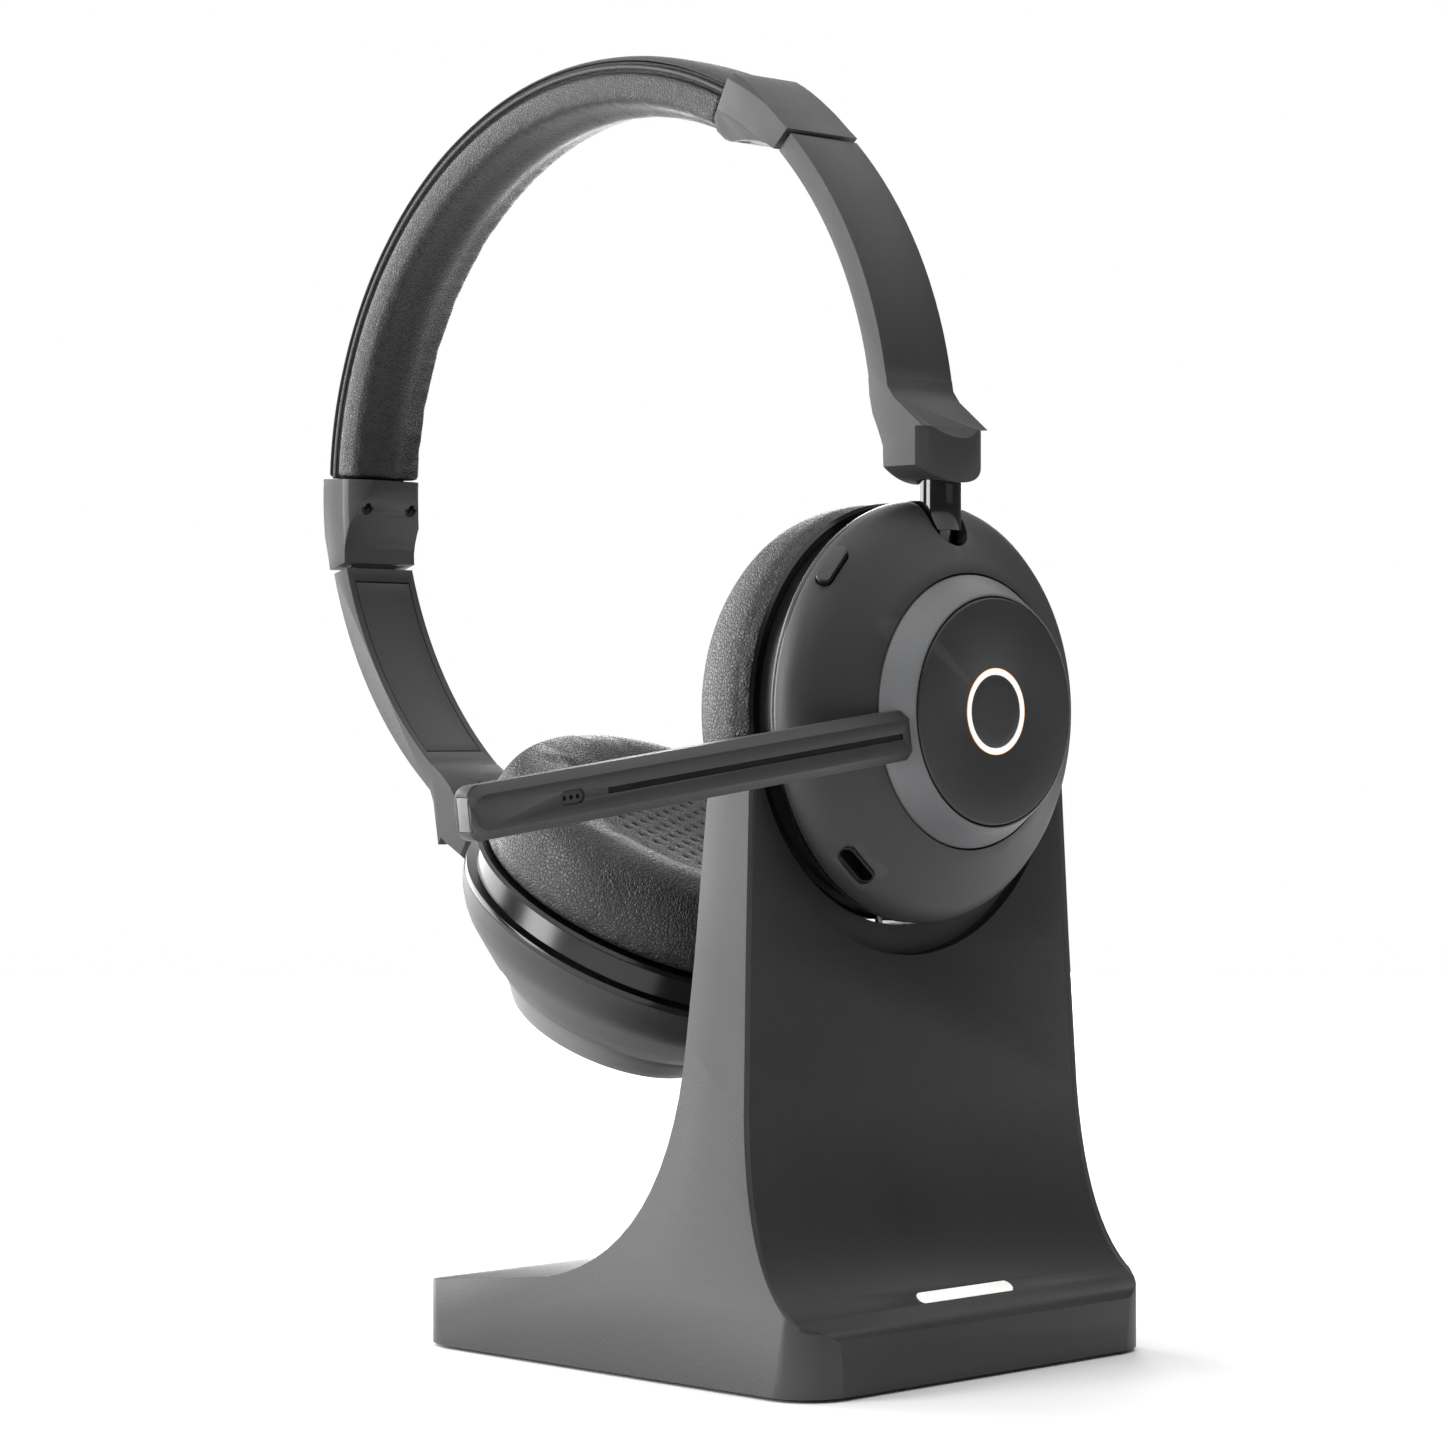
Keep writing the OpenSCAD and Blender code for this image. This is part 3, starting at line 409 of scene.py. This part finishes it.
def mesh_object(name, verts, faces, mat, subdiv=0):
    me = bpy.data.meshes.new(name)
    me.from_pydata([tuple(v) for v in verts], [], faces)
    me.validate()
    me.update()
    o = bpy.data.objects.new(name, me)
    bpy.context.scene.collection.objects.link(o)
    me.materials.append(mat)
    me.polygons.foreach_set("use_smooth", [True] * len(me.polygons))
    if subdiv:
        s = o.modifiers.new("subdivision", "SUBSURF")
        s.levels = s.render_levels = subdiv
    return o


def grid_faces(rows, cols, close_rows, close_cols):
    """Quads over a rows by cols grid of points, joined round in either direction."""
    out = []
    for i in range(rows if close_rows else rows - 1):
        for j in range(cols if close_cols else cols - 1):
            a, b = i * cols + j, i * cols + (j + 1) % cols
            k = ((i + 1) % rows) * cols
            out.append((a, b, k + (j + 1) % cols, k + j))
    return out


def catmull(points, steps):
    """A smooth line through the points."""
    p = [Vector((*q, 0)) if len(q) == 2 else Vector(q) for q in points]
    p = [p[0] * 2 - p[1], *p, p[-1] * 2 - p[-2]]
    out = []
    for i in range(1, len(p) - 2):
        for k in range(steps):
            t = k / steps
            a, b, c, d = p[i - 1], p[i], p[i + 1], p[i + 2]
            out.append(0.5 * (2 * b + (c - a) * t + (2 * a - 5 * b + 4 * c - d) * t * t
                              + (3 * b - a - 3 * c + d) * t ** 3))
    out.append(p[-2])
    return out


def inflate(name, verts, faces, pinned, cap, pressure=4.0, frames=20):
    """Runs Blender's cloth at ten times the mesh's size. Returns its points, moved cap metres at most."""
    centre = sum((Vector(v) for v in verts), Vector()) / len(verts)
    big = [(Vector(v) - centre) * SIM for v in verts]
    me = bpy.data.meshes.new(name)
    me.from_pydata([tuple(v) for v in big], [], faces)
    o = bpy.data.objects.new(name, me)
    scene = bpy.context.scene
    scene.collection.objects.link(o)
    group = o.vertex_groups.new(name="pin")
    for i, w in pinned.items():
        group.add([i], w, "REPLACE")
    c = o.modifiers.new("cloth", "CLOTH")
    c.settings.quality = 6
    c.settings.mass = 0.3
    c.settings.use_pressure = True
    c.settings.uniform_pressure_force = pressure
    c.settings.effector_weights.gravity = 0
    c.settings.vertex_group_mass = "pin"
    c.settings.tension_stiffness = 15
    c.settings.compression_stiffness = 15
    c.settings.bending_stiffness = 1.5
    c.settings.shrink_min = -0.02
    c.collision_settings.use_collision = False
    c.point_cache.frame_start, c.point_cache.frame_end = 1, frames
    for f in range(1, frames + 1):
        scene.frame_set(f)
    done = o.evaluated_get(bpy.context.evaluated_depsgraph_get()).to_mesh()
    out = []
    for v, now in zip(big, done.vertices):
        d = (now.co - v) / SIM
        if d.length > cap:
            d = d.normalized() * cap
        out.append(v / SIM + d + centre)
    o.to_mesh_clear()
    bpy.data.objects.remove(o)
    scene.frame_set(1)
    return out


# ---------- ear cushions ----------

AROUND = 120
# the cushion's section, as (radius, s) in mm
rim = [(17.4, 12.5), (22.0, 8.9), (28.5, 8.75), (33.4, 8.75), (34.9, 9.35), (35.55, 11.0), (35.6, 13.6),
       (35.2, 17.0), (34.0, 20.5), (31.6, 23.1), (28.2, 24.5), (25.2, 24.4), (22.2, 23.5), (19.4, 22.2),
       (17.2, 21.3), (16.6, 20.5), (16.9, 16.0)]
profile = [(p.x, p.y) for p in catmull([*rim, rim[0]], 3)[:-1]]
ring_verts = []
for i in range(AROUND):
    a = 2 * math.pi * i / AROUND
    ring_verts += [cup(r, s, a) for r, s in profile]
ring_faces = grid_faces(AROUND, len(profile), True, True)
pins = {}
for i in range(AROUND):
    for j, (r, s) in enumerate(profile):
        k = i * len(profile) + j
        if s < 9.6 or r < 17.5:
            pins[k] = 1.0
        elif s < 11.5 or r < 19.5:
            pins[k] = 0.5
soft = inflate("cushion_sim", ring_verts, ring_faces, pins, 0.6 * MM)


def pucker(points):
    """Gathers the leather at the outer welt and the inner seam, with shallow folds over the crown."""
    out = []
    for k, v in enumerate(points):
        i, j = divmod(k, len(profile))
        a = 2 * math.pi * i / AROUND
        r, s = profile[j]
        low = max(0.0, 1 - abs(s - 10.8) / 3.0) if r > 33 else 0.0
        inner = max(0.0, 1 - abs(r - 19.5) / 3.4) if s > 20.5 else 0.0
        crown = 1.0 if s > 14 and r > 18 else 0.0
        d = 0.10 * low * math.sin(38 * a + 2.2 * math.sin(5 * a))
        d += 0.09 * inner * math.sin(26 * a + 1.7 * math.sin(3 * a))
        d += 0.07 * crown * noise.noise(v * 70.0)
        axis = Vector((math.cos(a), 0, math.sin(a)))
        out.append(v + axis * d * MM + Vector((0, d * 0.7 * MM, 0)))
    return out


soft = pucker(soft)
near_cushion = mesh_object("near_ear_cushion", soft, ring_faces, leather_mat, 1)
far_cushion = mesh_object("far_ear_cushion", [to_far @ v for v in soft],
                          [tuple(reversed(f)) for f in ring_faces], leather_mat, 1)


# ---------- perforated ear panels ----------


# The holes' lattice, and an oval's short and long half axes, in mm in the panel's plane
STEP_A = (2.9, 1.05)
STEP_B = (-1.4, 2.7)
OVAL_SHORT = (0.26, 0.15)
OVAL_LONG = (-0.32, 0.55)
HOLES_R = 15.0
PANEL_R = 19.3


def panel_height(x, z):
    return 21.15 - 0.3 * math.cos(min(1.0, math.hypot(x, z) / 17.5) * math.pi / 2)


def cell_edge():
    """Sixteen points round a square of side 2, anticlockwise from (1, 0)."""
    out = []
    for k in range(16):
        t = 2 * math.pi * k / 16
        c, d = math.cos(t), math.sin(t)
        big = max(abs(c), abs(d))
        out.append((round(2 * c / big) / 2, round(2 * d / big) / 2))
    return out


def panel_points():
    """A sheet of cells in the panel's plane, in mm. Each cell near the middle has a slanted oval hole."""
    verts, faces, index = [], [], {}
    square = cell_edge()
    n = len(square)

    def vert(x, z, drop=0.0):
        key = (round(x, 3), round(z, 3), drop)
        if key not in index:
            index[key] = len(verts)
            verts.append((x, panel_height(x, z) - drop, z))
        return index[key]

    for row in range(-9, 10):
        for col in range(-9, 10):
            cx = col * STEP_A[0] + row * STEP_B[0]
            cz = col * STEP_A[1] + row * STEP_B[1]
            if math.hypot(cx, cz) > PANEL_R:
                continue
            outer = [vert(cx + (a * STEP_A[0] + b * STEP_B[0]) / 2, cz + (a * STEP_A[1] + b * STEP_B[1]) / 2)
                     for a, b in square]
            if math.hypot(cx, cz) > HOLES_R:
                faces.append(tuple(outer))
                continue
            rims = []
            for drop, grow in ((0.0, 1.0), (0.12, 0.88), (0.75, 0.86)):
                loop = []
                for a, b in square:
                    t = math.atan2(b, a)
                    u, v = grow * math.cos(t), grow * math.sin(t)
                    loop.append(vert(cx + u * OVAL_SHORT[0] + v * OVAL_LONG[0],
                                     cz + u * OVAL_SHORT[1] + v * OVAL_LONG[1], drop))
                rims.append(loop)
            for a, b in zip([outer, *rims], rims):
                for k in range(n):
                    faces.append((a[k], a[(k + 1) % n], b[(k + 1) % n], b[k]))
    return verts, faces


pv, pf = panel_points()
near_pv = [Vector((x * MM, PLANE_Y + s * MM, CUP_Z + z * MM)) for x, s, z in pv]
near_panel = mesh_object("near_ear_panel", near_pv, [tuple(reversed(f)) for f in pf], leather_mat)
far_panel = mesh_object("far_ear_panel", [to_far @ v for v in near_pv], pf, leather_mat)


def disc_sheet(name, s, radius, mat, side):
    """The dark cloth behind the holes, slightly domed."""
    verts, rings, n = [], 8, 48
    for i in range(rings):
        r = radius * (i + 0.02) / (rings - 1)
        for j in range(n):
            p = cup(r, s + 0.25 * (1 - (r / radius) ** 2), 2 * math.pi * j / n)
            verts.append(to_far @ p if side else p)
    return mesh_object(name, verts, grid_faces(rings, n, False, True), mat)


near_cloth = disc_sheet("near_ear_cloth", 19.2, 16.4, cloth_mat, False)
far_cloth = disc_sheet("far_ear_cloth", 19.2, 16.4, cloth_mat, True)

# ---------- headband ----------

HALF = 56.9  # half the band's angle, in degrees
LONG = 150  # steps along the band
PAD_FREE_R = 70.4  # the pad swells only inside this radius, in mm


def sweep(name, section, half, mat, subdiv=1, wobble=0.0, points=None):
    """Carries a closed section of (x, r) points round the band and caps both ends."""
    n = len(section)
    if points is None:
        points = []
        for i in range(LONG + 1):
            a = -half + 2 * half * i / LONG
            for x, r in section:
                p = band(r, a, x)
                if wobble:
                    out = (p - BAND_O).normalized()
                    p = p + out * (wobble * MM * noise.noise(p * 90.0))
                points.append(p)
    faces = grid_faces(LONG + 1, n, False, True)
    faces.append(tuple(reversed(range(n))))
    faces.append(tuple(LONG * n + j for j in range(n)))
    return mesh_object(name, points, faces, mat, subdiv)


def pad_section():
    """The pad: wrapped up the carrier's sides to the piping, with a ridge down its middle."""
    half = [(7.3, 74.3), (8.2, 74.55), (8.7, 73.9), (8.75, 72.4), (8.7, 70.6), (8.3, 69.5),
            (7.2, 68.9), (5.4, 68.6), (3.6, 68.3), (2.2, 67.7), (1.0, 67.2)]
    left = [(-x, r) for x, r in reversed(half)]
    return [*half, (0, 67.1), *left, (-7.2, 72.4), (7.2, 72.4)]


sec = pad_section()
n_sec = len(sec)
pad_points = []
for i in range(LONG + 1):
    a = -HALF + 2 * HALF * i / LONG
    pad_points += [band(r, a, x) for x, r in sec]
pad_faces = grid_faces(LONG + 1, n_sec, False, True)
pad_pins = {}
for i in range(LONG + 1):
    for j, (x, r) in enumerate(sec):
        if r > PAD_FREE_R or i in (0, 1, LONG - 1, LONG):
            pad_pins[i * n_sec + j] = 1.0
        elif abs(x) < 1.5:
            pad_pins[i * n_sec + j] = 0.9
pad_points = inflate("pad_sim", pad_points, pad_faces, pad_pins, 0.15 * MM, pressure=3.0)
for k, p in enumerate(pad_points):
    i, j = divmod(k, n_sec)
    x, r = sec[j]
    if r < PAD_FREE_R:
        a = -HALF + 2 * HALF * i / LONG
        edge = max(0.0, 1 - abs(abs(x) - 7.6) / 1.8)
        ripple = 0.05 * edge * math.sin(a * 2.9 + 1.5 * math.sin(a * 0.31)) + 0.04 * noise.noise(p * 60.0)
        pad_points[k] = p + (BAND_O + Vector((p.x, 0, 0)) - p).normalized() * (ripple * MM)
band_pad = sweep("headband_pad", sec, HALF, pad_mat, points=pad_points)


def crown(top, base, width, steps=7):
    """A shallow crowned strip: (x, r) points of its closed section."""
    out = []
    for i in range(steps * 2 + 1):
        t = i / steps - 1
        out.append((-width * t, base + (top - base) * (1 - abs(t) ** 3.2) ** 0.6))
    return [*out, (-width * 0.96, base - 0.25), (0, base - 0.3), (width * 0.96, base - 0.25)]


band_cover = sweep("headband_cover", crown(77.95, 76.75, 8.72), HALF, cover_mat, wobble=0.07)


def welt(name, x, r, radius):
    """A piping cord along the band's edge, with the slight beading of its stitches."""
    verts, n, long = [], 10, 420
    for i in range(long + 1):
        a = -HALF + 0.25 + 2 * (HALF - 0.25) * i / long
        bead = 1 + 0.045 * math.sin(i * 2 * math.pi / 3.0)
        for j in range(n):
            t = 2 * math.pi * j / n
            verts.append(band(r + radius * bead * math.sin(t), a, x + radius * bead * math.cos(t)))
    faces = grid_faces(long + 1, n, False, True)
    faces.append(tuple(reversed(range(n))))
    faces.append(tuple(long * n + j for j in range(n)))
    return mesh_object(name, verts, faces, welt_mat)


welts = []
for tag, side in (("left", -1), ("right", 1)):
    welts.append(welt(f"band_welt_{tag}", side * 8.25, 75.45, 0.36))


def band_wall():
    """The leather that closes the band's sides behind the piping, in a narrow groove."""
    half = [(8.05, 76.4), (7.6, 75.9), (7.5, 74.6), (7.5, 73.0)]
    left = [(-x, r) for x, r in reversed(half)]
    return [*half, (0, 72.55), *left, (0, 76.5)]


wall = sweep("headband_side_leather", band_wall(), HALF, cover_mat, subdiv=0)

# ---------- small details ----------


def cup_ring(name, sections, mat, n=160):
    """A closed ring about the near cup's axis from (r, s) points in mm."""
    verts = []
    for i in range(n):
        verts += [cup(r, s, 2 * math.pi * i / n) for r, s in sections]
    return mesh_object(name, verts, grid_faces(n, len(sections), True, True), mat)


amber = cup_ring("call_light_edge", [(7.27, -15.46), (7.38, -15.45), (7.38, -15.2), (7.27, -15.2)],
                 amber_mat)

# ---------- bodies ----------

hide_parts("near_cushion")
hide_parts("far_cushion")
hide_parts("near_cushion_mesh")
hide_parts("far_cushion_mesh")
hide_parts("band_pad")
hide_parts("band_cover")
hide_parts("band_piping")
for o in (near_cushion, near_panel, near_cloth, amber):
    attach(o, "near_cup")
for o in (far_cushion, far_panel, far_cloth):
    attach(o, "far_cup")
for o in (band_pad, band_cover, wall, *welts):
    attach(o, "headband")

# ---------- floor, light and camera ----------


FLOOR_R = 1.15


def floor():
    m = Mat("floor")
    cloud = m.noise(3.0, 3.0)
    m.set(Base_Color=m.mix(m.span(cloud, 0.2, 0.8), (0.86, 0.86, 0.865), (0.89, 0.89, 0.893)), Roughness=0.9)
    n, rings = 64, 8
    verts = []
    for i in range(rings):
        r = FLOOR_R * (i + 0.01) / (rings - 1)
        verts += [(r * math.cos(2 * math.pi * j / n), r * math.sin(2 * math.pi * j / n), 0) for j in range(n)]
    me = bpy.data.meshes.new("floor")
    me.from_pydata(verts, [], grid_faces(rings, n, False, True))
    me.materials.append(m.mat)
    o = bpy.data.objects.new("floor", me)
    bpy.context.scene.collection.objects.link(o)


def area(name, at, to, size, power, tint=(1, 1, 1)):
    data = bpy.data.lights.new(name, "AREA")
    data.shape = "RECTANGLE"
    data.size, data.size_y = size
    data.energy = power
    data.color = tint
    o = bpy.data.objects.new(name, data)
    o.location = at
    o.rotation_mode = "QUATERNION"
    o.rotation_quaternion = (Vector(to) - Vector(at)).to_track_quat("-Z", "Y")
    bpy.context.scene.collection.objects.link(o)


floor()
area("left_key", (-0.85, 0.35, 0.30), (0, 0, 0.12), (0.35, 0.9), 11.0)
area("back_left", (-0.15, 1.25, 0.35), (0, 0.03, 0.12), (1.3, 1.0), 26.0)
area("top", (0.2, 0.25, 1.3), (0.2, 0.25, 0.0), (3.2, 3.2), 44.0)
area("right_rim", (0.85, 0.75, 0.25), (0, 0, 0.12), (0.4, 0.8), 7.0)
area("front_fill", (0.1, -1.1, 0.5), (0, 0, 0.1), (0.8, 0.8), 0.6)

# The backdrop is white to the camera, and lights the object much less than that.
WORLD_LIGHT = 0.12
world = bpy.data.worlds.new("studio")
bpy.context.scene.world = world
world.use_nodes = True
back = world.node_tree.nodes["Background"]
back.inputs["Color"].default_value = (1, 1, 1, 1)
path = world.node_tree.nodes.new("ShaderNodeLightPath")
level = world.node_tree.nodes.new("ShaderNodeMapRange")
level.inputs["To Min"].default_value = WORLD_LIGHT
level.inputs["To Max"].default_value = 1.0
world.node_tree.links.new(path.outputs["Is Camera Ray"], level.inputs["Value"])
world.node_tree.links.new(level.outputs["Result"], back.inputs["Strength"])
bpy.context.scene.view_settings.view_transform = "Standard"

cam_data = bpy.data.cameras.new("camera")
cam_data.lens = 100.9
cam_data.sensor_width = 36.0
cam_data.shift_y = 0.00865
cam_data.clip_start, cam_data.clip_end = 0.01, 60.0
cam = bpy.data.objects.new("camera", cam_data)
cam.location = (-0.5198, -0.5045, 0.1093)
cam.rotation_mode = "QUATERNION"
cam.rotation_quaternion = Vector((1, 1, 0)).to_track_quat("-Z", "Y")
bpy.context.scene.collection.objects.link(cam)
bpy.context.scene.camera = cam
